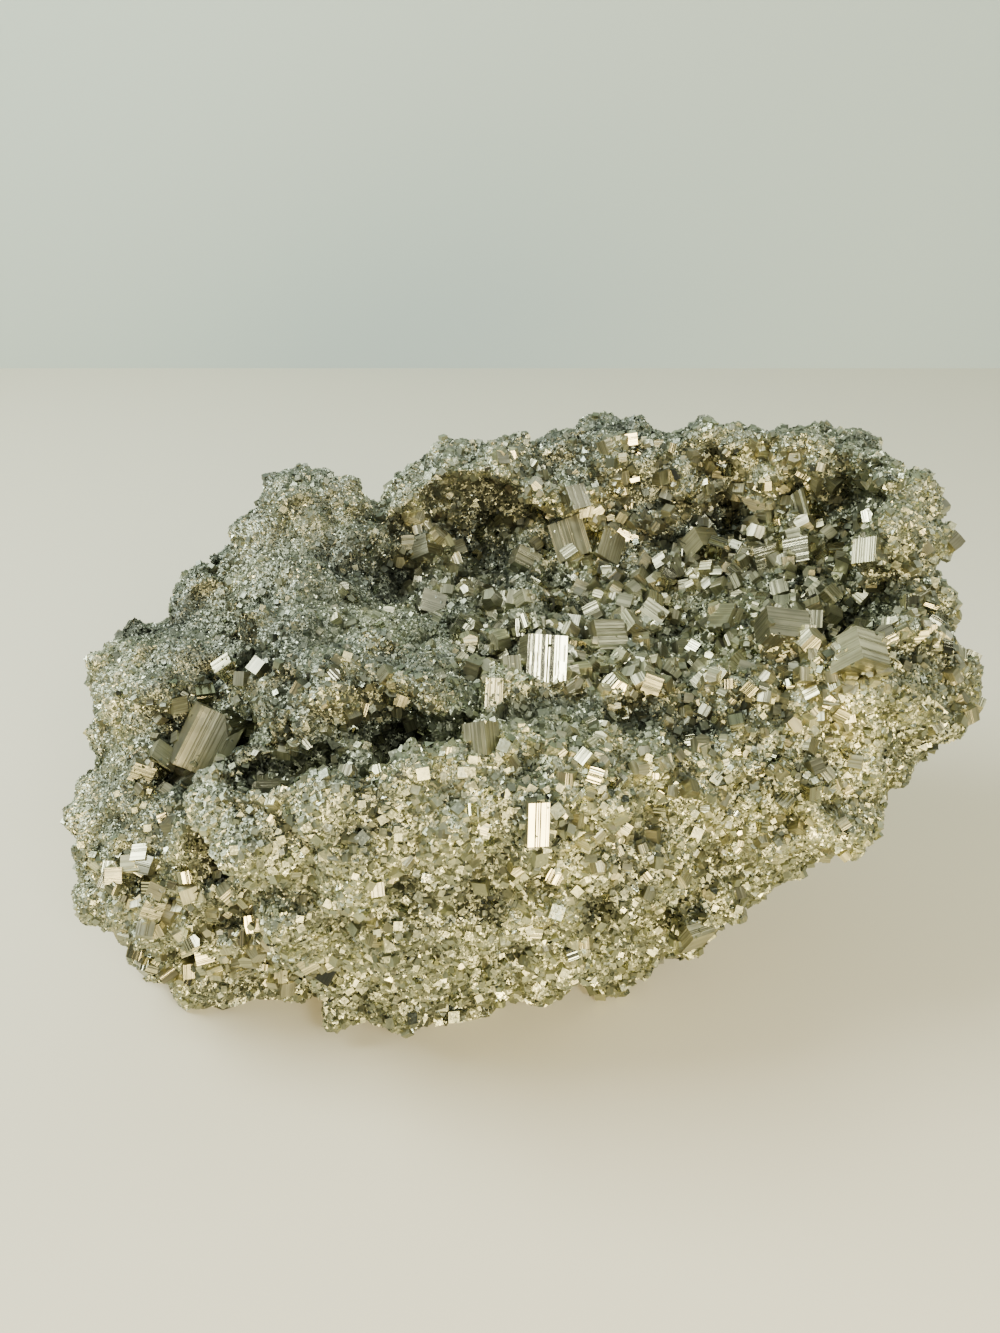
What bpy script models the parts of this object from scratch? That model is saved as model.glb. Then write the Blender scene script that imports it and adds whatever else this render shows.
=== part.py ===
"""A pyrite cluster 120 mm long: one lump of brassy crystals grown together, flat where it stands."""

import math
import random

import bmesh
import bpy
from mathutils import Euler, Matrix, Vector, noise
from mathutils.bvhtree import BVHTree

MM = 0.001

# Driving sizes of the whole cluster
LENGTH = 120 * MM
SKIN_STEP = 1.3 * MM
BODY_TRIANGLES = 4300

# Lumps of the mass, in millimetres: centre (x to the right, y to the back, z up), radii, turn about Z in degrees
LUMPS = {
    "heart": ((1, 5, 26), (45, 31, 24), 0),
    "foot": ((-12, 5, 11), (40, 26, 15), 0),
    "left_flank": ((-37, -1, 20), (22, 20, 20), 10),
    "left_toe": ((-38, -4, 8), (17, 14, 12), 0),
    "left_shoulder": ((-45, 9, 31), (13, 14, 17), 0),
    "left_step": ((-38, 19, 40), (10, 10, 13), 0),
    "thumb": ((-27, 25, 45), (12.6, 12, 18.4), 0),
    "thumb_root": ((-27, 10, 38), (15, 15, 17), 0),
    "middle_knob": ((-15, -9, 44), (11, 10, 13), 0),
    "small_knob": ((-26, -8, 44), (6, 6, 8), 0),
    "back_left": ((-4, 33, 47), (17, 12, 18), 0),
    "back_middle": ((16, 36, 48), (19, 12, 18), 0),
    "back_right": ((42, 26, 52), (16.8, 14.4, 17.9), 0),
    "ridge_link": ((29, 31, 54.5), (9, 9, 12.4), 0),
    "crest_knob": ((16, 33, 61), (6, 5, 6), 0),
    "basin_back": ((20, 22, 43), (14, 8, 8), 0),
    "right_shoulder": ((46, 13, 54), (13, 16, 15), 0),
    "right_flank": ((42, 3, 45), (16, 17, 15), 0),
    "right_tip": ((50, -1, 44), (9, 11, 7), 0),
    "right_step": ((36, -5, 35), (13, 14, 10.5), 0),
    "right_front": ((28, -8, 38), (15, 12, 13), 0),
    "front_bulge": ((-6, -10, 30), (36, 20, 23), 0),
    "front_lip": ((-10, -19, 41), (25, 11, 11), 0),
    "front_right": ((19, -5, 28), (19, 16, 18), 0),
    "front_toe": ((-10, -8, 7), (28, 13, 9), 0),
    "right_toe": ((13, -1, 9), (19, 15, 12), 0),
}

# Hollows let into the top and flanks, written in the same way
HOLLOWS = {
    "basin": ((22, 10, 62), (27, 17, 13), 10),
    "back_recess": ((-4, 21, 56), (12, 6, 11), 0),
    "recess_depth": ((-4, 27, 52), (11, 8, 6.5), 0),
    "left_trough": ((-16, -20, 47), (13, 5, 12), 8),
    "trough_end": ((-10, -18, 46), (4, 4, 9), 0),
    "left_garden": ((-36, -8, 42), (9, 8, 9), 0),
    "garden_slit": ((-35.5, -1.5, 44), (2, 3.2, 3.2), 0),
    "left_hole": ((-32, -23, 35), (4, 5, 2.6), 20),
    "right_pit": ((40, -2, 56), (7, 5, 8), 0),
    "back_pit": ((34, 22, 62), (6, 5, 8), 0),
    "middle_pit": ((14, -5, 53), (6, 4, 5), 0),
}

# Balls of small crystals that stand in the hollows, written in the same way
BALLS = {
    "trough_ball": ((-22.5, -15.5, 47.5), (3.8, 3.8, 4), 0),
    "trough_ball_right": ((-16, -15.5, 45), (3, 3.2, 3.2), 0),
    "recess_ball": ((-10.3, 28.5, 49.5), (3.7, 3.5, 5.5), 0),
    "back_dome": ((20, 27.5, 53), (5.2, 4.5, 5.2), 0),
}

# Relief of the skin: width of each swell, knob and block, and how far it stands out
SWELL_WIDTH, SWELL_HEIGHT = 17 * MM, 1.7 * MM
KNOB_WIDTH, KNOB_HEIGHT = 8 * MM, 1.7 * MM
BLOCK_WIDTH, BLOCK_HEIGHT = 3.4 * MM, 0.9 * MM

# Large crystals, in millimetres: where each is rooted, its three edges, and its turns in degrees
LARGE_CRYSTALS = {
    "bright": ((5, -7, 51), (4.6, 5.4, 5.6), (-35, 8, 6)),
    "stepped": ((13, 3, 49), (4.4, 4, 4), (-48, 12, 24)),
    "stepped_twin": ((16.5, 5, 49), (3, 3.2, 3), (10, 40, 24)),
    "wall_pair": ((10.5, 25, 52), (4.2, 5.4, 5.6), (-30, 20, 60)),
    "wall_pair_twin": ((14.5, 24, 52), (4, 3.6, 4.4), (-40, 35, 12)),
    "wall_glint": ((10.5, 25, 58), (3, 3, 3.4), (-40, 0, 30)),
    "recess_slab": ((1.5, 24, 52), (4.2, 3, 3), (-50, 30, 0)),
    "garden_blade": ((-37.5, -3, 37), (6.2, 6, 8), (-25, 38, 15)),
    "garden_side": ((-34, -3, 39), (3, 3, 3.4), (30, 12, 50)),
    "garden_low": ((-43, -6, 36), (3.4, 3, 3.4), (15, 50, 5)),
    "trough_block": ((-25.5, -18, 42), (6, 3.4, 3), (-20, 15, 20)),
    "trough_left": ((-31, -14, 40), (3, 3, 2.6), (40, 10, 70)),
    "post": ((-1, -14, 51), (2, 2.4, 4), (-30, 10, 12)),
    "right_glint": ((42, 22.5, 58), (3, 3.4, 4), (-45, 10, 25)),
    "right_cube": ((40.5, 16, 55), (3.6, 3.6, 3.4), (-30, 25, 40)),
    "right_steps": ((36, 17.5, 53), (3.8, 3.2, 3.4), (-25, -10, 15)),
    "basin_right": ((29, 4.5, 50), (3.6, 3.8, 3.4), (-35, 40, 10)),
    "basin_back": ((24.5, 22, 46), (3.2, 3.2, 3.4), (-50, 0, 35)),
    "basin_middle": ((21, 12, 48), (3.4, 3.6, 3.4), (20, 35, 60)),
    "rim_slab": ((33, -4.5, 54), (5.2, 3.8, 3.8), (-60, 10, 5)),
    "rim_right": ((40, -10, 54), (4.6, 4.6, 4), (-55, 25, 20)),
    "edge_glint": ((38, -10, 27), (3, 3, 3), (-20, 20, 15)),
    "front_post": ((3.5, -28, 46), (2.2, 2.4, 4.6), (-20, 5, 10)),
    "low_left_glint": ((-42, -19, 25), (2.6, 2.2, 2.4), (-30, 40, 20)),
    "low_left_slab": ((-32, -19, 14), (3.6, 3, 3), (-50, 10, 30)),
    "lip_pair": ((-2, -21, 50), (2.8, 2.8, 3.6), (-30, 30, 50)),
    "valley_slab": ((-9.5, 13, 48), (3.4, 3, 3), (-40, 25, 10)),
    "back_slab": ((28, 21.5, 53), (3.8, 3.4, 3.2), (-60, 15, 30)),
    "shoulder_cube": ((43, 0, 61), (3, 3, 3), (-30, 30, 30)),
    "recess_cube": ((-10.5, 24, 51), (3.2, 3.2, 3), (-35, 30, 50)),
    "front_low_slab": ((22, -22, 24), (3.6, 3.6, 3), (-70, 10, 30)),
}
LARGE_RISE = 0.0

# Beds of smaller crystals, in millimetres: middle, reach in x, y and z, how many, least and greatest edge
BEDS = {
    "basin": ((20, 9, 49), (25, 17, 8), 56, 1.2, 2.2),
    "back_wall": ((24, 25, 55), (28, 6, 7), 14, 1.3, 2),
    "right": ((44, 4, 56), (9, 14, 8), 12, 1.3, 2),
    "left_garden": ((-36, -8, 40), (9, 9, 7), 7, 1.6, 2.6),
    "trough": ((-14, -17, 46), (14, 6, 6), 3, 1.4, 2),
    "front": ((8, -24, 40), (28, 6, 14), 8, 1.3, 1.9),
    "low_left": ((-38, -17, 17), (12, 7, 9), 9, 1.6, 2.4),
    "back": ((4, 42, 36), (40, 8, 20), 10, 1.8, 2.8),
}
BED_SEED = 11
BED_RISE = -0.14
CLOSEST = 0.7


def clear_scene():
    for old in list(bpy.data.objects):
        bpy.data.objects.remove(old)


def pick_only(things):
    bpy.ops.object.select_all(action="DESELECT")
    for thing in things:
        thing.select_set(True)
    bpy.context.view_layer.objects.active = things[0]


def egg(name, centre, radii, turn):
    """A closed egg shape of the given radii, turned about Z and set at its centre."""
    bpy.ops.mesh.primitive_ico_sphere_add(subdivisions=4, radius=1.0)
    made = bpy.context.object
    made.name = name
    place = Matrix.Translation(Vector(centre) * MM) @ Matrix.Rotation(math.radians(turn), 4, "Z")
    made.data.transform(place @ Matrix.Diagonal((*(radius * MM for radius in radii), 1)))
    return made


def joined(name, things):
    pick_only(things)
    bpy.ops.object.join()
    whole = bpy.context.object
    whole.name = name
    return whole


def apply_all(thing):
    """Applies the modifiers of an object in their order."""
    pick_only([thing])
    for modifier in list(thing.modifiers):
        bpy.ops.object.modifier_apply(modifier=modifier.name)


def combine(thing, operation, other):
    """Joins or cuts a thing with another one, which is used up."""
    change = thing.modifiers.new(operation.lower(), "BOOLEAN")
    change.operation = operation
    change.object = other
    change.use_self = True
    apply_all(thing)
    bpy.data.objects.remove(other)


def even_out(thing, step, smoothing):
    """Gives overlapping closed shapes one even skin between them."""
    evened = thing.modifiers.new("evened", "REMESH")
    evened.mode = "VOXEL"
    evened.voxel_size = step
    if smoothing:
        softened = thing.modifiers.new("softened", "SMOOTH")
        softened.iterations = smoothing
    apply_all(thing)


def fused_mass():
    """The lumps grown into one skin, with the hollows let in and the balls standing in them."""
    mass = joined("pyrite_cluster", [egg(name, *facts) for name, facts in LUMPS.items()])
    even_out(mass, SKIN_STEP, 0)
    combine(mass, "DIFFERENCE", joined("hollows", [egg(name, *facts) for name, facts in HOLLOWS.items()]))
    mass = joined("pyrite_cluster", [mass] + [egg(name, *facts) for name, facts in BALLS.items()])
    even_out(mass, SKIN_STEP, 5)
    return mass


def knob(place, width):
    """A rounded knob in each cell of a random mosaic: 1 at its middle, falling to 0 at its rim."""
    nearest = noise.voronoi(place / width)[0][0]
    return max(0.0, 1 - (1.35 * nearest) ** 2)


def block(place, width):
    """A flat-topped block in each cell, each standing to its own height between 0 and 1."""
    return noise.cell(noise.voronoi(place / width)[1][0] * 7)


def roughen(mass):
    """Pushes the skin out along its normals into swells, knobs and small blocks."""
    corners = mass.data.vertices
    lifts = []
    for corner in corners:
        lift = SWELL_HEIGHT * noise.noise(corner.co / SWELL_WIDTH)
        lift += KNOB_HEIGHT * (knob(corner.co, KNOB_WIDTH) - 0.4)
        lift += BLOCK_HEIGHT * (block(corner.co, BLOCK_WIDTH) - 0.5)
        lifts.append(corner.normal * lift)
    for corner, lift in zip(corners, lifts):
        corner.co += lift


def thin_out(mass):
    """Brings the skin down to broad facets."""
    thinned = mass.modifiers.new("thinned", "DECIMATE")
    triangles = sum(len(face.vertices) - 2 for face in mass.data.polygons)
    thinned.ratio = BODY_TRIANGLES / triangles
    apply_all(mass)


def crystal(seat, outward, rise, edges, turns):
    """A block with the given three edges, rooted at a seat on the skin and standing out by a share of its size."""
    solid = bmesh.new()
    bmesh.ops.create_cube(solid, size=1)
    solid.transform(Matrix.Diagonal((*(edge * MM for edge in edges), 1)))
    turned = Euler([math.radians(turn) for turn in turns]).to_matrix().to_4x4()
    solid.transform(Matrix.Translation(seat + outward * rise * min(edges) * MM) @ turned)
    return solid


def bed_places(skin, bed, taken, picker):
    """Spots on the skin within a bed, spaced apart, each with its normal, edges and turns."""
    middle, reach, count, least, greatest = bed
    found = []
    while len(found) < count:
        guess = Vector([at + far * picker.uniform(-1, 1) for at, far in zip(middle, reach)]) * MM
        edge = least + (greatest - least) * picker.random() ** 1.6
        spot, outward, _, _ = skin.find_nearest(guess)
        crowded = any((spot - other).length < CLOSEST * (edge + size) / 2 * MM for other, size in taken)
        if crowded or spot.z < 1.2 * edge * MM:
            continue
        taken.append((spot, edge))
        edges = [edge * picker.uniform(0.8, 1.25) for _ in range(3)]
        found.append((spot, outward, edges, [picker.uniform(0, 360) for _ in range(3)]))
    return found


def crystals_on(mass):
    """Every crystal large enough to make out from a step away, as one mesh of overlapping blocks."""
    skin = BVHTree.FromObject(mass, bpy.context.evaluated_depsgraph_get())
    picker = random.Random(BED_SEED)
    blocks, taken = [], []
    for seat, edges, turns in LARGE_CRYSTALS.values():
        spot, outward, _, _ = skin.find_nearest(Vector(seat) * MM)
        taken.append((spot, max(edges)))
        blocks.append(crystal(spot, outward, LARGE_RISE, edges, turns))
    for bed in BEDS.values():
        for spot, outward, edges, turns in bed_places(skin, bed, taken, picker):
            blocks.append(crystal(spot, outward, BED_RISE, edges, turns))
    whole = bmesh.new()
    for solid in blocks:
        piece = bpy.data.meshes.new("crystal")
        solid.to_mesh(piece)
        solid.free()
        whole.from_mesh(piece)
        bpy.data.meshes.remove(piece)
    mesh = bpy.data.meshes.new("crystals")
    whole.to_mesh(mesh)
    whole.free()
    made = bpy.data.objects.new("crystals", mesh)
    bpy.context.scene.collection.objects.link(made)
    return made


def floor_block():
    """Everything below the plane that the cluster stands on."""
    bpy.ops.mesh.primitive_cube_add(size=1)
    below = bpy.context.object
    below.data.transform(Matrix.Translation((0, 0, -0.5)))
    return below


def linked_corners(shape):
    """The corners of a mesh in lists, one for each piece that hangs together, smallest first."""
    unseen = set(shape.verts)
    pieces = []
    while unseen:
        reached = [unseen.pop()]
        piece = []
        while reached:
            corner = reached.pop()
            piece.append(corner)
            others = [line.other_vert(corner) for line in corner.link_edges]
            fresh = [other for other in others if other in unseen]
            unseen.difference_update(fresh)
            reached.extend(fresh)
        pieces.append(piece)
    return sorted(pieces, key=len)


def keep_main_body(mass):
    """Drops sealed pockets and crumbs, leaving the one closed skin."""
    shape = bmesh.new()
    shape.from_mesh(mass.data)
    for crumb in linked_corners(shape)[:-1]:
        bmesh.ops.delete(shape, geom=crumb, context="VERTS")
    bmesh.ops.triangulate(shape, faces=shape.faces)
    shape.to_mesh(mass.data)
    shape.free()


def settle(mass):
    """Brings the cluster to its full length and sets the middle of its underside at the origin."""
    corners = [corner.co for corner in mass.data.vertices]
    low = [min(place[axis] for place in corners) for axis in range(3)]
    high = [max(place[axis] for place in corners) for axis in range(3)]
    middle = Vector(((low[0] + high[0]) / 2, (low[1] + high[1]) / 2, 0))
    mass.data.transform(Matrix.Scale(LENGTH / (high[0] - low[0]), 4) @ Matrix.Translation(-middle))


def pyrite():
    """Pale brass-grey metal, a little rough."""
    made = bpy.data.materials.new("pyrite")
    made.use_nodes = True
    shader = made.node_tree.nodes["Principled BSDF"]
    shader.inputs["Base Color"].default_value = (0.42, 0.39, 0.28, 1)
    shader.inputs["Metallic"].default_value = 1.0
    shader.inputs["Roughness"].default_value = 0.32
    return made


def main():
    clear_scene()
    mass = fused_mass()
    roughen(mass)
    thin_out(mass)
    combine(mass, "UNION", crystals_on(mass))
    combine(mass, "DIFFERENCE", floor_block())
    keep_main_body(mass)
    settle(mass)
    mass.data.materials.clear()
    mass.data.materials.append(pyrite())


main()
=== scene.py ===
"""The look of a pyrite cluster: a lump of brassy crystals grown together, 120 mm long.

The lump keeps the solid's form, with knobs and pits worked into its skin. Sugary grains and
striated crystals are grown on it, in sizes that change from place to place.
"""

import math

import bmesh
import bpy
import numpy as np
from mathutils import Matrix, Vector


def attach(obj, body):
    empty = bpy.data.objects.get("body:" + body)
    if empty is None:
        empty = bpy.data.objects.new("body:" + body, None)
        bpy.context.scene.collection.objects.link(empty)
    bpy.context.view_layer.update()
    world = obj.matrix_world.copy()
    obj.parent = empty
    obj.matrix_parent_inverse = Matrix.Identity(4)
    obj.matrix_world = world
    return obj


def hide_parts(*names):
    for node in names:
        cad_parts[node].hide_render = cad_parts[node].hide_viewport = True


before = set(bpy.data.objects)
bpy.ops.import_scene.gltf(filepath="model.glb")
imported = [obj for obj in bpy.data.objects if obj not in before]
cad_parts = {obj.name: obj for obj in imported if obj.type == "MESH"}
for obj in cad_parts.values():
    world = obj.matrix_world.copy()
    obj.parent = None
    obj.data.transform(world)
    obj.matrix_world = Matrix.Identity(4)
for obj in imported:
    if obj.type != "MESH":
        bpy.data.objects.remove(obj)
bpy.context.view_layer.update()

scene = bpy.context.scene
MM = 0.001


# The camera looks down on the cluster from about its own length away, through the wide lens of a
# phone, so that the front swells towards it and the back ridge falls away.

CAMERA_PLACE = (-0.1 * MM, -117.1 * MM, 114.8 * MM)
CAMERA_DROP = 32  # degrees below level
CAMERA_LENS, SENSOR_WIDTH = 27, 36

camera = bpy.data.objects.new("camera", bpy.data.cameras.new("camera"))
scene.collection.objects.link(camera)
camera.location = CAMERA_PLACE
camera.rotation_euler = (math.radians(90 - CAMERA_DROP), 0, 0)
camera.data.lens = CAMERA_LENS
camera.data.sensor_width = SENSOR_WIDTH
camera.data.clip_start = 1 * MM
scene.camera = camera


# The lump is massive pyrite, iron sulphide whose crystals grew until they met and fused. Its largest
# crystals stand out as smooth blocks. Between them a crust of crystals too small to tell apart swells
# into knobs, with pits where nothing grew.

MERGED_WITHIN = 0.002 * MM
FLAT_WITHIN = 0.15
SKIN_CUTS = 4
SOFTENING = 8
KNOB_WIDTH, KNOB_RELIEF = 8 * MM, 5.2 * MM
BUD_WIDTH, BUD_RELIEF = 3 * MM, 1.8 * MM
WORN_EDGE = 0.12 * MM

# Large crystals are told by their square edges, or by folds all round, in degrees. Small faces keep more
# of their sugar than broad ones.
SQUARE_CORNER = 0.05
FOLDED_IN = -20
BARE_FROM, BARE_AT = 3 * MM ** 2, 11 * MM ** 2
LEAST_BARE, BARE_GAIN = 0.72, 0.27

# Hollows, darkened with painted shade over some tarnish: how far the form is evened out, the fall below it
# where they start, and their full depth
FINE_HOLLOWS, BROAD_HOLLOWS = (30, 0.06 * MM, 0.8 * MM), (300, 0.8 * MM, 4.5 * MM)
# How strongly the pits are darkened with painted shade
PIT_SHADE = 2

# Pits, in millimetres: the middle of the mouth, how wide it reaches, and how deep it goes
PITS = {
    "garden_top": ((-37, -8, 44), 3.5, 4),
    "garden_side": ((-43, -12, 40), 2, 2),
    "trough_left": ((-20, -28, 47), 2.2, 3.5),
    "trough_floor": ((-17, -28, 46), 2.2, 3.5),
    "trough_right": ((-11, -23, 45), 3, 4),
    "trough_front": ((-27, -30, 46), 2.5, 3),
    "left_hole": ((-33, -30, 35), 4.5, 5),
    "left_hole_end": ((-35, -32, 32), 3.5, 4),
    "left_dimple": ((-45, -29, 29), 2.5, 3),
    "left_speck": ((-34, -6, 51), 2, 1.5),
    "middle_left": ((-20, -17, 55), 2, 1.5),
    "front_speck": ((-10, -37, 36), 2, 2),
    "front_left": ((-2, -38, 33), 2.5, 2),
    "front_right": ((12, -38, 30), 3.5, 3),
    "recess_back": ((-3, 27, 52), 3.5, 3),
    "recess_left": ((-14, 17, 55), 2, 2.5),
    "recess_low": ((-14, 15, 48), 2.2, 3),
    "basin_start": ((4, -8, 52), 3, 3),
    "basin_middle": ((13, -14, 50), 3, 2.5),
    "basin_front": ((17, -20, 49), 3, 2.5),
    "basin_low": ((23, -21, 48), 2.5, 2.5),
    "basin_right": ((28, -20, 50), 2.5, 2.5),
    "basin_end": ((38, 1, 52), 3, 2.5),
    "back_left": ((30, 18, 64), 4, 3),
    "back_middle": ((33, 17, 58), 4, 3),
    "rim_inner": ((44, -7, 53), 3, 3),
    "rim_front": ((39, -17, 57), 3, 4),
}

# Faces that catch the eye: the middle in millimetres, then tone, polish and brassiness from 0 to 1
SHOWN_WITHIN = 1.2
SHOWN_FACES = {
    "garden_blade": ((-36, -13, 39), (0.85, 0.1, 0)),
    "garden_side": ((-41, -13, 39), (0.5, 0.1, 0.1)),
    "bright": ((5, -19, 53), (1, 0.95, 0.2)),
    "bright_side": ((2, -16, 53), (0.6, 0.6, 0.6)),
    "recess_right": ((10, 16, 55), (0.9, 0.6, 0.8)),
    "recess_right_side": ((16, 15, 53), (0.8, 0.7, 0.6)),
    "basin_striped": ((14, -7, 51), (0.9, 0.7, 0.9)),
    "rim_right": ((42, -20, 57), (0.5, 0.5, 0.7)),
    "rim_middle": ((35, -15, 56), (0.6, 0.5, 0.4)),
    "back_glint": ((43, 13, 61), (1, 1, 0.4)),
    "front_glint": ((4, -39, 47), (1, 1, 0.15)),
    "trough_block": ((-26, -30, 44), (0.6, 0.5, 0.2)),
}

# Tones of pyrite from dull to bright, greyed by tarnish, and the dark tone of hollows and pits, partly
# tarnish and partly painted shade
CRUST_TONES = {0: "#6C6F61", 0.4: "#898B75", 0.75: "#A3A386", 1: "#CCCAA9"}
SHADE_AND_TARNISH_TONE = "#33382F"

# Tarnish drifts in patches about 12 mm wide. Low down, in front and on the right the metal is painted
# brassier and a shade brighter, as painted warm light, and towards the upper left it leans cool, as painted
# cool light; each face's cast also varies at random.
# A high polish is rare.
PATCH_WIDTH, PATCH_SPREAD, PATCH_LEVEL = 12 * MM, 1.9, -0.8
COOL_CAST, BRASSY_CAST, CAST_SPREAD = (0.91, 0.98, 1.11), (0.95, 0.99, 0.93), 0.6
WARM_LIGHT_WAY, WARM_LIGHT_LEVEL = (6, -5, -8), 0.75
PAINTED_LIGHT_THERE, BRIGHTER_ALL_OVER = 0.04, 0.05
POLISH_RARITY = 4

# Each crystal's pattern is shifted by up to this many millimetres, so that no two faces show the same lines
ANY_SHIFT = 50


def only_selected(thing):
    bpy.ops.object.select_all(action="DESELECT")
    thing.select_set(True)
    bpy.context.view_layer.objects.active = thing


def apply_all(thing):
    only_selected(thing)
    for modifier in list(thing.modifiers):
        bpy.ops.object.modifier_apply(modifier=modifier.name)


def turn_of(edge):
    """The angle by which an edge's two faces turn away from each other, below zero in a fold."""
    return math.degrees(edge.calc_face_angle_signed(0))


def is_square(edge):
    return abs(turn_of(edge) - 90) < SQUARE_CORNER


def is_floor(face):
    return face.normal.z < -0.99 and face.calc_center_median().z < 0.01 * MM


def is_block_face(face):
    """True on a large crystal's flat face: it has a square edge, or folds all round where it stands out."""
    if is_floor(face):
        return False
    folds = len(face.edges) > 3 and all(turn_of(edge) < FOLDED_IN for edge in face.edges)
    return folds or any(is_square(edge) for edge in face.edges)


def bareness(face):
    """The share of the sugar that is missing on a face: none on the skin, most on a large crystal."""
    if is_floor(face):
        return 1
    broadness = (face.calc_area() - BARE_FROM) / (BARE_AT - BARE_FROM)
    return face.material_index * (LEAST_BARE + BARE_GAIN * min(max(broadness, 0), 1))


def lay_striations(face, dice, uv, chance):
    """Maps a crystal face in millimetres, across and along its longest square edge.

    Its tone, polish and brassiness are left to chance, or chosen where it is one of the shown faces.
    """
    rims = [edge for edge in face.edges if is_square(edge)] or face.edges
    longest = max(rims, key=lambda edge: edge.calc_length())
    along = (longest.verts[1].co - longest.verts[0].co).normalized()
    across = face.normal.cross(along)
    shift = ANY_SHIFT * dice.random()
    for corner in face.loops:
        corner[uv].uv = (corner.vert.co.dot(across) / MM + shift, corner.vert.co.dot(along) / MM)
    face[chance] = dice.random(3)
    for place, chosen in SHOWN_FACES.values():
        if (face.calc_center_median() / MM - Vector(place)).length < SHOWN_WITHIN:
            face[chance] = chosen


def is_skin(face):
    return face.material_index == 0


def order_of(part):
    """A number that puts an edge or a face in its place by the lowest three of its corners."""
    lowest = sorted(corner.index for corner in part.verts)[:3]
    return sum(number * 1e5 ** -place for place, number in enumerate(lowest))


def lay_skin_again(shape):
    """Makes the skin's triangles again in a fixed order.

    The operator that made them leaves them in an order that changes from run to run, and the grains are
    scattered in that order.
    """
    shape.verts.index_update()
    corners = list(shape.verts)
    rings = []
    for face in filter(is_skin, shape.faces):
        ring = [corner.index for corner in face.verts]
        start = ring.index(min(ring))
        rings.append(ring[start:] + ring[:start])
    for edge in [edge for edge in shape.edges if all(map(is_skin, edge.link_faces))]:
        shape.edges.remove(edge)
    for face in list(filter(is_skin, shape.faces)):
        shape.faces.remove(face)
    for ring in sorted(rings):
        shape.faces.new([corners[at] for at in ring]).smooth = True
    shape.edges.sort(key=order_of)
    shape.faces.sort(key=order_of)


def swell(thing, name, width, relief):
    """Pushes the skin out into rounded cells of the given width."""
    pattern = bpy.data.textures.new(name, "VORONOI")
    pattern.noise_scale = width
    change = thing.modifiers.new(name, "DISPLACE")
    change.texture = pattern
    change.texture_coords = "LOCAL"
    change.strength = -relief
    change.mid_level = 0.4
    change.vertex_group = "skin"


def read_corners(thing, what="co"):
    flat = np.empty(len(thing.data.vertices) * 3)
    thing.data.vertices.foreach_get(what, flat)
    return flat.reshape(-1, 3)


def sunk(thing, reach, start, depth):
    """How far each corner lies below the form evened out over a reach: 0 at the start, 1 at the depth."""
    only_selected(thing)
    bpy.ops.object.duplicate()
    evened = bpy.context.object
    evened.modifiers.new("evened", "SMOOTH").iterations = reach
    apply_all(evened)
    fall = ((read_corners(evened) - read_corners(thing)) * read_corners(thing, "normal")).sum(axis=1)
    bpy.data.objects.remove(evened)
    return np.clip((fall - start) / depth, 0, 1)


def linear(code):
    """An sRGB hex colour as linear red, green, blue and alpha."""
    parts = [int(code[at:at + 2], 16) / 255 for at in (1, 3, 5)]
    return [part / 12.92 if part <= 0.04045 else ((part + 0.055) / 1.055) ** 2.4 for part in parts] + [1]


def add_node(tree, kind, settings=(), **links):
    """Adds a node with its settings. Each link gives a socket or a value to an input, named or _numbered."""
    made = tree.nodes.new(kind)
    for name, value in dict(settings).items():
        setattr(made, name, value)
    for name, value in links.items():
        socket = made.inputs[int(name[1:])] if name[1:].isdigit() else made.inputs[name]
        if isinstance(value, bpy.types.NodeSocket):
            tree.links.new(value, socket)
        else:
            socket.default_value = value
    return made


def ramp_between(tree, factor, tones):
    ramp = add_node(tree, "ShaderNodeValToRGB", _0=factor)
    stops = ramp.color_ramp.elements
    while len(stops) < len(tones):
        stops.new(0.5)
    for stop, (at, code) in zip(stops, tones.items()):
        stop.position = at
        stop.color = linear(code)
    return ramp.outputs[0]


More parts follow.
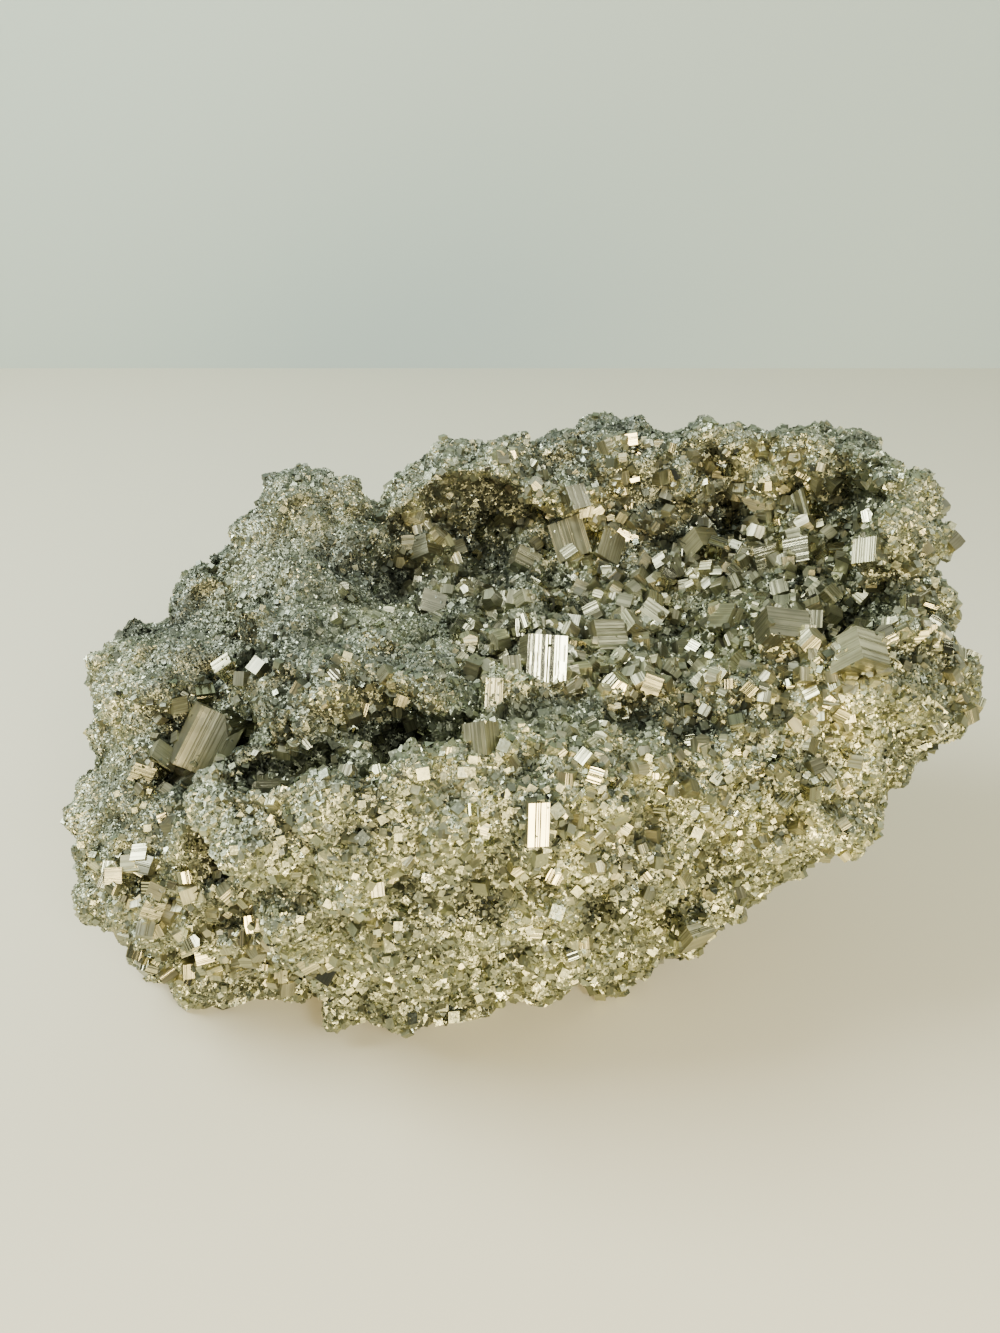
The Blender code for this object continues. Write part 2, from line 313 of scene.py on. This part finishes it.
def pyrite(name, tones, tone_spread, hollow_shading, roughness, facet_width, facet_tilt, is_crust):
    """Pale brassy metal whose tone and polish change from crystal to crystal.

    Small facets tilt its surface. In a crust each facet has a tone of its own, and elsewhere each face has.
    It gives back its material, with the socket of the tilted surface.
    """
    made = bpy.data.materials.new(name)
    made.use_nodes = True
    tree = made.node_tree
    place = add_node(tree, "ShaderNodeTexCoord").outputs["Object"]
    facets = add_node(tree, "ShaderNodeTexVoronoi", Vector=place, Scale=1 / facet_width).outputs["Color"]
    chance = add_node(tree, "ShaderNodeAttribute", {"attribute_name": "chance"}).outputs["Vector"]
    dice = add_node(tree, "ShaderNodeSeparateXYZ", _0=facets if is_crust else chance)

    patches = add_node(
        tree, "ShaderNodeTexNoise", Vector=place, Scale=1 / PATCH_WIDTH, Detail=3.0, Roughness=0.7
    )
    drift = add_node(
        tree, "ShaderNodeMath", {"operation": "MULTIPLY_ADD"},
        _0=patches.outputs[0], _1=PATCH_SPREAD, _2=PATCH_LEVEL,
    )
    varied = add_node(
        tree, "ShaderNodeMath", {"operation": "MULTIPLY_ADD"},
        _0=dice.outputs[0], _1=tone_spread, _2=drift.outputs[0],
    )
    # Towards the low front and the right the tone is painted warmer and brighter: painted warm light
    heading = add_node(tree, "ShaderNodeVectorMath", {"operation": "DOT_PRODUCT"}, _0=place, _1=WARM_LIGHT_WAY)
    warm_lit_side = add_node(
        tree, "ShaderNodeMath", {"operation": "ADD", "use_clamp": True},
        _0=heading.outputs["Value"], _1=WARM_LIGHT_LEVEL,
    ).outputs[0]
    lit = add_node(
        tree, "ShaderNodeMath", {"operation": "MULTIPLY_ADD"},
        _0=warm_lit_side, _1=PAINTED_LIGHT_THERE, _2=BRIGHTER_ALL_OVER,
    )
    factor = add_node(tree, "ShaderNodeMath", {"operation": "ADD"}, _0=varied.outputs[0], _1=lit.outputs[0])
    tone = ramp_between(tree, factor.outputs[0], tones)

    leaning = add_node(
        tree, "ShaderNodeMath", {"operation": "MULTIPLY_ADD"},
        _0=dice.outputs[2], _1=CAST_SPREAD, _2=warm_lit_side,
    )
    leant = add_node(
        tree, "ShaderNodeMath", {"operation": "SUBTRACT", "use_clamp": True},
        _0=leaning.outputs[0], _1=CAST_SPREAD / 2,
    )
    cast = add_node(
        tree, "ShaderNodeMix", {"data_type": "RGBA"},
        _0=leant.outputs[0], _6=(*COOL_CAST, 1), _7=(*BRASSY_CAST, 1),
    )
    tinted = add_node(tree, "ShaderNodeVectorMath", {"operation": "MULTIPLY"}, _0=tone, _1=cast.outputs[2])

    # Hollows and pits are mixed towards the dark tone: painted shade, with some tarnish
    shade_and_tarnish = add_node(tree, "ShaderNodeAttribute", {"attribute_name": "shade_and_tarnish"}).outputs["Fac"]
    depth = add_node(
        tree, "ShaderNodeMath", {"operation": "MULTIPLY", "use_clamp": True}, _0=shade_and_tarnish, _1=hollow_shading
    )
    shaded = add_node(
        tree, "ShaderNodeMix", {"data_type": "RGBA"},
        _0=depth.outputs[0], _6=tinted.outputs[0], _7=linear(SHADE_AND_TARNISH_TONE),
    )

    polish = add_node(tree, "ShaderNodeMath", {"operation": "POWER"}, _0=dice.outputs[1], _1=POLISH_RARITY)
    rough = add_node(tree, "ShaderNodeMapRange", _0=polish.outputs[0], _3=roughness[1], _4=roughness[0])
    facing = add_node(tree, "ShaderNodeNewGeometry").outputs["Normal"]
    centred = add_node(tree, "ShaderNodeVectorMath", {"operation": "SUBTRACT"}, _0=facets, _1=(0.5,) * 3)
    tilted = add_node(
        tree, "ShaderNodeVectorMath", {"operation": "MULTIPLY_ADD"},
        _0=centred.outputs[0], _1=(facet_tilt,) * 3, _2=facing,
    )
    surface = add_node(
        tree, "ShaderNodeVectorMath", {"operation": "NORMALIZE"}, _0=tilted.outputs[0]
    ).outputs[0]

    shader = tree.nodes["Principled BSDF"]
    shader.inputs["Metallic"].default_value = 1
    tree.links.new(shaded.outputs[2], shader.inputs["Base Color"])
    tree.links.new(rough.outputs[0], shader.inputs["Roughness"])
    tree.links.new(surface, shader.inputs["Normal"])
    return made, surface


only_selected(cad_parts["pyrite_cluster"])
bpy.ops.object.duplicate()
lump = bpy.context.object
lump.name = "lump"
lump.parent = None
lump.data.materials.clear()
bpy.ops.object.mode_set(mode="EDIT")
bpy.ops.mesh.select_all(action="SELECT")
bpy.ops.mesh.remove_doubles(threshold=MERGED_WITHIN)
bpy.ops.mesh.dissolve_limited(angle_limit=math.radians(FLAT_WITHIN))
bpy.ops.object.mode_set(mode="OBJECT")

shape = bmesh.new()
shape.from_mesh(lump.data)
uv = shape.loops.layers.uv.new("UVMap")
chance = shape.faces.layers.float_vector.new("chance")
bare = shape.faces.layers.float.new("bare")
pit = shape.verts.layers.float.new("pit")
dice = np.random.default_rng(5)
square_edges = [edge for edge in shape.edges if is_square(edge)]
for face in shape.faces:
    face.smooth = not is_block_face(face) and not is_floor(face)
    face.material_index = int(not face.smooth)
    if is_block_face(face):
        lay_striations(face, dice, uv, chance)
bmesh.ops.bevel(
    shape, geom=square_edges, offset=WORN_EDGE, segments=1, affect="EDGES", clamp_overlap=True, material=1
)
for face in shape.faces:
    face[bare] = bareness(face)
bmesh.ops.triangulate(shape, faces=list(filter(is_skin, shape.faces)))
lay_skin_again(shape)
skin_edges = [edge for edge in shape.edges if any(map(is_skin, edge.link_faces))]
bmesh.ops.subdivide_edges(shape, edges=skin_edges, cuts=SKIN_CUTS, use_grid_fill=True)
free = [corner for corner in shape.verts if all(map(is_skin, corner.link_faces))]
for place, reach, depth in PITS.values():
    near = [(corner, 1 - ((corner.co - Vector(place) * MM).length / (reach * MM)) ** 2) for corner in free]
    near = [(corner, nearness) for corner, nearness in near if nearness > 0]
    outward = sum((corner.normal for corner, _ in near), Vector()).normalized()
    for corner, nearness in near:
        corner.co -= outward * depth * MM * nearness ** 2
        corner[pit] = max(corner[pit], nearness)
free = [corner.index for corner in free]
shape.to_mesh(lump.data)
shape.free()

lump.vertex_groups.new(name="skin").add(free, 1, "REPLACE")
softened = lump.modifiers.new("softened", "SMOOTH")
softened.iterations = SOFTENING
softened.vertex_group = "skin"
swell(lump, "knobs", KNOB_WIDTH, KNOB_RELIEF)
swell(lump, "buds", BUD_WIDTH, BUD_RELIEF)
lump.modifiers.new("triangles", "TRIANGULATE")
apply_all(lump)
for corner in lump.data.vertices:
    corner.co.z = max(corner.co.z, 0)

# The dark tone of hollows and pits is painted shade, with some tarnish
pits = np.empty(len(lump.data.vertices))
lump.data.attributes["pit"].data.foreach_get("value", pits)
shade_and_tarnish = np.maximum(sunk(lump, *FINE_HOLLOWS), sunk(lump, *BROAD_HOLLOWS))
shade_and_tarnish = np.maximum(shade_and_tarnish, PIT_SHADE * pits)
lump.data.attributes.new("shade_and_tarnish", "FLOAT", "POINT").data.foreach_set("value", shade_and_tarnish)

# Sugary pyrite: natural facets too small to tell apart, each a spark or a speck as it tilts. Real ones can
# be finer than the 0.2 mm drawn here, which is about the finest that shows.
sugary, _ = pyrite(
    "sugary_pyrite", CRUST_TONES, tone_spread=0.45, hollow_shading=0.4, roughness=(0.2, 0.5),
    facet_width=0.2 * MM, facet_tilt=0.6, is_crust=True,
)
lump.data.materials.append(sugary)

# Striated pyrite: natural flat faces, so bright that they mirror the lamps, ruled with straight growth
# lines of uneven width. The lines stand in relief, and their tone is also painted lighter and darker, as
# painted light and shade of their steps. Real lines can be finer than the 0.52 mm drawn here, but finer ones
# look scratchy.
FACE_TONES = {0: "#787662", 0.35: "#8E8B72", 0.7: "#A8A384", 1: "#CBC49E"}
STRIATION = 0.26
BANDS_TO_A_MM, BAND_SLIDE, BAND_STEP = 0.9, 2.2, 0.6
FAINT_LINES, CLEAR_LINES, PAINTED_LINE_SHADE = 0.35, 1.0, 2.4
LINE_RELIEF = 0.15 * MM

striated, surface = pyrite(
    "striated_pyrite", FACE_TONES, tone_spread=0.6, hollow_shading=0.12, roughness=(0.1, 0.42),
    facet_width=1.2 * MM, facet_tilt=0.05, is_crust=False,
)
tree = striated.node_tree
mapped = add_node(tree, "ShaderNodeSeparateXYZ", _0=add_node(tree, "ShaderNodeUVMap").outputs[0]).outputs[0]
bands = add_node(
    tree, "ShaderNodeTexNoise", {"noise_dimensions": "1D"}, W=mapped, Scale=BANDS_TO_A_MM, Detail=1.0
).outputs[0]
slid = add_node(tree, "ShaderNodeMath", {"operation": "MULTIPLY_ADD"}, _0=bands, _1=BAND_SLIDE, _2=mapped)
lines = add_node(tree, "ShaderNodeMath", {"operation": "PINGPONG"}, _0=slid.outputs[0], _1=STRIATION)
die = add_node(tree, "ShaderNodeAttribute", {"attribute_name": "chance"}).outputs["Vector"]
strength = add_node(tree, "ShaderNodeSeparateXYZ", _0=die).outputs[2]
amount = add_node(tree, "ShaderNodeMapRange", _0=strength, _3=FAINT_LINES, _4=CLEAR_LINES)
centred = add_node(tree, "ShaderNodeMath", {"operation": "SUBTRACT"}, _0=lines.outputs[0], _1=STRIATION / 2)
ruled = add_node(
    tree, "ShaderNodeMath", {"operation": "MULTIPLY"}, _0=centred.outputs[0], _1=amount.outputs[0]
).outputs[0]
steps = add_node(tree, "ShaderNodeMath", {"operation": "MULTIPLY_ADD"}, _0=bands, _1=BAND_STEP, _2=ruled)
relief = add_node(tree, "ShaderNodeBump", Height=steps.outputs[0], Distance=LINE_RELIEF, Normal=surface)
shader = tree.nodes["Principled BSDF"]
tree.links.new(relief.outputs[0], shader.inputs["Normal"])
# Painted light and shade: the base colour is made lighter and darker along the lines
line_light_and_shade = add_node(tree, "ShaderNodeMath", {"operation": "MULTIPLY_ADD"}, _0=ruled, _1=PAINTED_LINE_SHADE, _2=1.0)
tone = shader.inputs["Base Color"].links[0].from_socket
lined = add_node(tree, "ShaderNodeVectorMath", {"operation": "SCALE"}, _0=tone, Scale=line_light_and_shade.outputs[0])
tree.links.new(lined.outputs[0], shader.inputs["Base Color"])
lump.data.materials.append(striated)

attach(lump, "root")
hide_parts("pyrite_cluster")


# The sugar is a crust of tiny pyrite crystals that grew side by side all over the skin, each showing the
# corner of a cube. It is finest on the left and along the back ridge, and coarser in front and below.

# Zones, in millimetres: middle, reach, and how wide the grains are there
GRAIN_ZONES = {
    "left": ((-40, -10, 35), 30, 0.3),
    "thumb": ((-27, 15, 50), 22, 0.28),
    "middle": ((-8, -8, 46), 16, 0.3),
    "ridge": ((15, 28, 55), 24, 0.31),
    "basin": ((22, 2, 48), 22, 0.36),
    "right": ((48, -5, 45), 24, 0.42),
    "front": ((-5, -40, 32), 30, 0.5),
    "right_front": ((28, -34, 36), 20, 0.42),
    "under": ((0, 0, 0), 26, 0.8),
    "behind": ((0, 60, 30), 40, 0.75),
}
GRAIN_SPREAD, GRAIN_CLOSENESS = 0.36, 1.12
GRAIN_LEAN, CORNER_SINK = 0.4, 0.1
ABOVE_BASE = 1.3
WHOLE_FROM, WHOLE_SHARE = 0.6 * MM, 0.4
GRAIN_TRIES = 900000
MOST_TRIANGLES = 190000
SIZE_STEPS = 4

rings = np.empty(len(lump.data.polygons) * 3, int)
lump.data.polygons.foreach_get("vertices", rings)
bare = np.empty(len(lump.data.polygons))
lump.data.attributes["bare"].data.foreach_get("value", bare)
skin = rings.reshape(-1, 3)[bare < 1]
bare = bare[bare < 1]
first, second, third = (read_corners(lump)[skin[:, at]] for at in range(3))
outward = np.cross(second - first, third - first)
doubled_area = np.linalg.norm(outward, axis=1)
outward /= np.maximum(doubled_area, 1e-12)[:, None]


def scattered(dice, count):
    """Random places all over the skin, with the way out, the painted shade and tarnish of the hollow, and
    the bareness at each.
    """
    chosen = dice.choice(len(skin), count, p=doubled_area / doubled_area.sum())
    a, b = dice.random((2, count, 1))
    a, b = np.where(a + b > 1, (1 - a, 1 - b), (a, b))
    places = first[chosen] + a * (second - first)[chosen] + b * (third - first)[chosen]
    return places, outward[chosen], shade_and_tarnish[skin[chosen, 0]], bare[chosen]


def grain_width(places):
    """How wide the grains are at each place, blended between the zones."""
    weights, widths = 1e-9, 0
    for middle, reach, width in GRAIN_ZONES.values():
        weight = np.exp(-(((places / MM - middle) / reach) ** 2).sum(axis=1))
        weights = weights + weight
        widths = widths + weight * width
    return widths / weights * MM


def spaced(places, spacing):
    """The numbers of one place in each cell of a grid as wide as the spacing there, to a quarter octave."""
    step = np.round(SIZE_STEPS * np.log2(spacing / MM))
    cells = np.column_stack([step, np.floor(places / (2 ** (step / SIZE_STEPS) * MM)[:, None])])
    return np.unique(cells, axis=0, return_index=True)[1]


def turns_outward(dice, outward, lean):
    """Turns whose own Z points outward, give or take a lean, spun about it at random."""
    up = outward + lean * dice.normal(size=outward.shape)
    up /= np.linalg.norm(up, axis=1)[:, None]
    side = np.cross(up, dice.normal(size=up.shape))
    side /= np.linalg.norm(side, axis=1)[:, None]
    return np.stack([side, np.cross(up, side), up], axis=-1)


def crystal_form(roof):
    """A block one unit wide whose faces each rise to a ridge by a share of it: corners, faces, main axes."""
    points = [(x, y, z) for x in (-1, 1) for y in (-1, 1) for z in (-1, 1)]
    for a in (-1, 1):
        for b in (-1, 1):
            high, far = a * (1 + roof), b * (1 - roof ** 2)
            points += [(0, high, far), (far, 0, high), (high, far, 0)] if roof else []
    form = bmesh.new()
    for point in points:
        form.verts.new(Vector(point) / 2)
    bmesh.ops.convex_hull(form, input=form.verts)
    bmesh.ops.dissolve_limit(form, angle_limit=math.radians(1), verts=form.verts, edges=form.edges)
    bmesh.ops.recalc_face_normals(form, faces=form.faces)
    form.verts.index_update()
    corners = np.array([corner.co for corner in form.verts])
    faces = [[corner.index for corner in face.verts] for face in form.faces]
    axes = [int(np.argmax(np.abs(face.normal))) for face in form.faces]
    form.free()
    return corners, faces, axes


def corner_form():
    """The corner of a cube one unit wide, pointing up, down to its three nearest corners."""
    tall, wide = math.sqrt(1 / 3), math.sqrt(2 / 3)
    around = [(math.cos(turn) * wide, math.sin(turn) * wide, 0) for turn in (0, 2.094, 4.189)]
    return np.array([(0, 0, tall), *around]), [[0, 1, 2], [0, 2, 3], [0, 3, 1]], [0, 0, 0]


def grown(name, form, dice, places, turns, widths, shades_and_tarnish, material):
    """One mesh of many copies of a small form, each with its place, turn, width and chance."""
    corners, faces, axes = form
    count = len(places)
    spread = places[:, None] + widths[:, None, None] * np.einsum("nij,kj->nki", turns, corners)
    starts = range(0, count * len(corners), len(corners))
    rings = [[start + at for at in face] for start in starts for face in faces]
    mesh = bpy.data.meshes.new(name)
    mesh.from_pydata(spread.reshape(-1, 3).tolist(), [], rings, shade_flat=True)
    chance = np.repeat(dice.random((count, 3)), len(faces), axis=0)
    mesh.attributes.new("chance", "FLOAT_VECTOR", "FACE").data.foreach_set("vector", chance.ravel())
    mesh.attributes.new("shade_and_tarnish", "FLOAT", "FACE").data.foreach_set("value", np.repeat(shades_and_tarnish, len(faces)))
    flat = [corners[face][:, [(axis + 2) % 3, (axis + 1) % 3]] for face, axis in zip(faces, axes)]
    mapped = np.concatenate(flat) * widths[:, None, None] / MM + ANY_SHIFT * dice.random((count, 1, 2))
    mesh.uv_layers.new(name="UVMap").uv.foreach_set("vector", mapped.ravel())
    mesh.materials.append(material)
    made = bpy.data.objects.new(name, mesh)
    scene.collection.objects.link(made)
    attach(made, "root")


# Grain pyrite: naturally grown like the rest, but each tiny crystal has one tone and one polish of its own,
# so that a few of them spark and the others stay dull
grain_metal, _ = pyrite(
    "grain_pyrite", CRUST_TONES, tone_spread=0.45, hollow_shading=0.4, roughness=(0.12, 0.5),
    facet_width=0.18 * MM, facet_tilt=0.25, is_crust=False,
)

dice = np.random.default_rng(3)
places, outs, shades_and_tarnish, bares = scattered(dice, GRAIN_TRIES)
widths = grain_width(places)
kept = spaced(places, widths * GRAIN_CLOSENESS)
kept = kept[dice.random(len(kept)) > bares[kept]]
kept = dice.permutation(kept[places[kept, 2] > ABOVE_BASE * widths[kept]])
sizes = widths[kept] * np.exp(GRAIN_SPREAD * dice.normal(size=len(kept)))
is_whole = (sizes > WHOLE_FROM) & (dice.random(len(kept)) < WHOLE_SHARE)
for name, form, some, sink in (
    ("sugar_corners", corner_form(), ~is_whole, CORNER_SINK), ("sugar_cubes", crystal_form(0), is_whole, 0)
):
    each = sum(len(face) - 2 for face in form[1])
    some = np.flatnonzero(some)
    for number, part in enumerate(np.array_split(some, math.ceil(len(some) * each / MOST_TRIANGLES))):
        at, size = kept[part], sizes[part]
        grown(
            f"{name}_{number}", form, dice, places[at] - sink * outs[at] * size[:, None],
            turns_outward(dice, outs[at], GRAIN_LEAN), size, shades_and_tarnish[at], grain_metal,
        )


# The crystals are pyrite that had room to grow, in the basin, the trough and on the right: cubes, cubes
# whose faces are roofed, and twelve-faced ones. Each stands half out of the mass at its own angle.

# Beds, in millimetres: middle, reach, how many, least and greatest width
CRYSTAL_BEDS = {
    "basin": ((20, -1, 50), (26, 17, 9), 1000, 0.7, 2.3),
    "back_wall": ((24, 16, 58), (28, 8, 9), 300, 0.7, 2.1),
    "right": ((46, -6, 52), (14, 18, 14), 260, 0.7, 2.1),
    "recess": ((-10, 16, 50), (5, 5, 6), 60, 0.9, 2.0),
    "left_garden": ((-37, -17, 40), (9, 9, 8), 70, 0.9, 2.4),
    "trough": ((-14, -27, 47), (14, 7, 7), 50, 0.7, 1.7),
    "front": ((8, -36, 36), (34, 10, 20), 120, 0.7, 1.6),
    "right_front": ((24, -24, 44), (18, 12, 12), 300, 0.7, 1.8),
    "low_left": ((-34, -28, 18), (14, 8, 12), 170, 0.8, 2.3),
    "middle": ((-10, -10, 48), (14, 14, 8), 90, 0.7, 1.6),
    "behind": ((4, 34, 34), (48, 12, 26), 300, 1.0, 2.4),
}
SMALLER_OFTENER = 2.2
CRYSTAL_TRIES, TO_CHOOSE_FROM, CRYSTAL_CLOSENESS = 250000, 3, 0.8
CUBES_TO, ROOFED_TO = 0.5, 0.75
ROOFED_RISE, TWELVE_FACED_RISE = 0.1, 0.4
# The share of its width by which a crystal sinks, and the share of its hollow's painted shade and tarnish
# that it takes
CRYSTAL_SINK, CRYSTAL_SHADE_SHARE = 0.05, 0.5

places, outs, shades_and_tarnish, bares = scattered(dice, CRYSTAL_TRIES)
picked, sizes = [], []
for middle, reach, count, least, greatest in CRYSTAL_BEDS.values():
    inside = (np.abs((places / MM - middle) / reach) < 1).all(axis=1) & (dice.random(len(places)) > bares)
    inside = np.flatnonzero(inside)[:count * TO_CHOOSE_FROM]
    size = (least + (greatest - least) * dice.random(len(inside)) ** SMALLER_OFTENER) * MM
    apart = dice.permutation(spaced(places[inside], size * CRYSTAL_CLOSENESS))[:count]
    picked.append(inside[apart])
    sizes.append(size[apart])
picked, sizes = np.concatenate(picked), np.concatenate(sizes)
forms = {
    "cubes": crystal_form(0),
    "roofed_cubes": crystal_form(ROOFED_RISE),
    "twelve_faced": crystal_form(TWELVE_FACED_RISE),
}
ends = [int(CUBES_TO * len(picked)), int(ROOFED_TO * len(picked))]
for (name, form), part in zip(forms.items(), np.split(dice.permutation(len(picked)), ends)):
    at, size = picked[part], sizes[part]
    grown(
        name, form, dice, places[at] - CRYSTAL_SINK * outs[at] * size[:, None],
        turns_outward(dice, dice.normal(size=(len(at), 3)), 0), size, shades_and_tarnish[at] * CRYSTAL_SHADE_SHARE, striated,
    )


# The floor is a wide sheet of matt card, painted pale, with nothing on it but the cluster.

FLOOR_PAINT, FLOOR_ROUGHNESS = "#C9C8B4", 0.8
CARD_WIDTH = 4

bpy.ops.mesh.primitive_plane_add(size=CARD_WIDTH)
ground = bpy.context.object
ground.name = "ground"
floor_card = bpy.data.materials.new("floor_card")
floor_card.use_nodes = True
card = floor_card.node_tree.nodes["Principled BSDF"]
card.inputs["Base Color"].default_value = linear(FLOOR_PAINT)
card.inputs["Roughness"].default_value = FLOOR_ROUGHNESS
ground.data.materials.append(floor_card)


# The wall is a sheet of pale translucent card, lit evenly from its far side, so that it is both the
# backdrop and the broadest of the soft lights. It stands far enough back to leave room for a view from
# behind.

WALL_PAINT, WALL_ROUGHNESS = "#9FAEA2", 0.9
WALL_GLOW, WALL_STRENGTH = "#E4F2EC", 0.3
WALL_DISTANCE = 0.3

bpy.ops.mesh.primitive_plane_add(
    size=CARD_WIDTH, location=(0, WALL_DISTANCE, 0), rotation=(math.radians(90), 0, 0)
)
wall = bpy.context.object
wall.name = "wall"
bpy.ops.object.transform_apply(location=True, rotation=True, scale=True)
backlit_card = bpy.data.materials.new("backlit_card")
backlit_card.use_nodes = True
card = backlit_card.node_tree.nodes["Principled BSDF"]
card.inputs["Base Color"].default_value = linear(WALL_PAINT)
card.inputs["Roughness"].default_value = WALL_ROUGHNESS
card.inputs["Emission Color"].default_value = linear(WALL_GLOW)
card.inputs["Emission Strength"].default_value = WALL_STRENGTH
wall.data.materials.append(backlit_card)


# The light is a soft studio's: a window high on the left, a softer lamp on the right, and warm lamps low
# in front. Each lamp that strikes a glint stands where a flat face mirrors it.

AIM = Vector((0, 0, 30 * MM))
ROOM_TONE, ROOM_STRENGTH = "#A9AAA0", 0.46


def soft_light(name, place, size, power, code):
    lamp = bpy.data.objects.new(name, bpy.data.lights.new(name, "AREA"))
    lamp.data.size = size
    lamp.data.energy = power
    lamp.data.color = linear(code)[:3]
    lamp.location = place
    lamp.rotation_euler = (AIM - lamp.location).to_track_quat("-Z", "Y").to_euler()
    scene.collection.objects.link(lamp)


# Each lamp's place and size in metres, its power in watts and its colour
soft_light("window", (-0.34, 0, 0.42), 0.26, 5.2, "#F6F9F2")
soft_light("ceiling", (-0.15, 0, 0.75), 0.9, 2.1, "#F2F5F2")
soft_light("side", (0.45, 0.07, 0.33), 0.14, 0.8, "#FAF9F2")
soft_light("front", (0.17, -0.33, 0.3), 0.1, 1.1, "#FAF7EA")
soft_light("reflector", (0.3, -0.5, 0.1), 0.6, 0.4, "#DCE8FA")
soft_light("low_front", (0.04, -0.27, 0.03), 0.16, 3.3, "#FFE2AC")

room = bpy.data.worlds.new("room")
scene.world = room
room.use_nodes = True
room.node_tree.nodes["Background"].inputs["Color"].default_value = linear(ROOM_TONE)
room.node_tree.nodes["Background"].inputs["Strength"].default_value = ROOM_STRENGTH
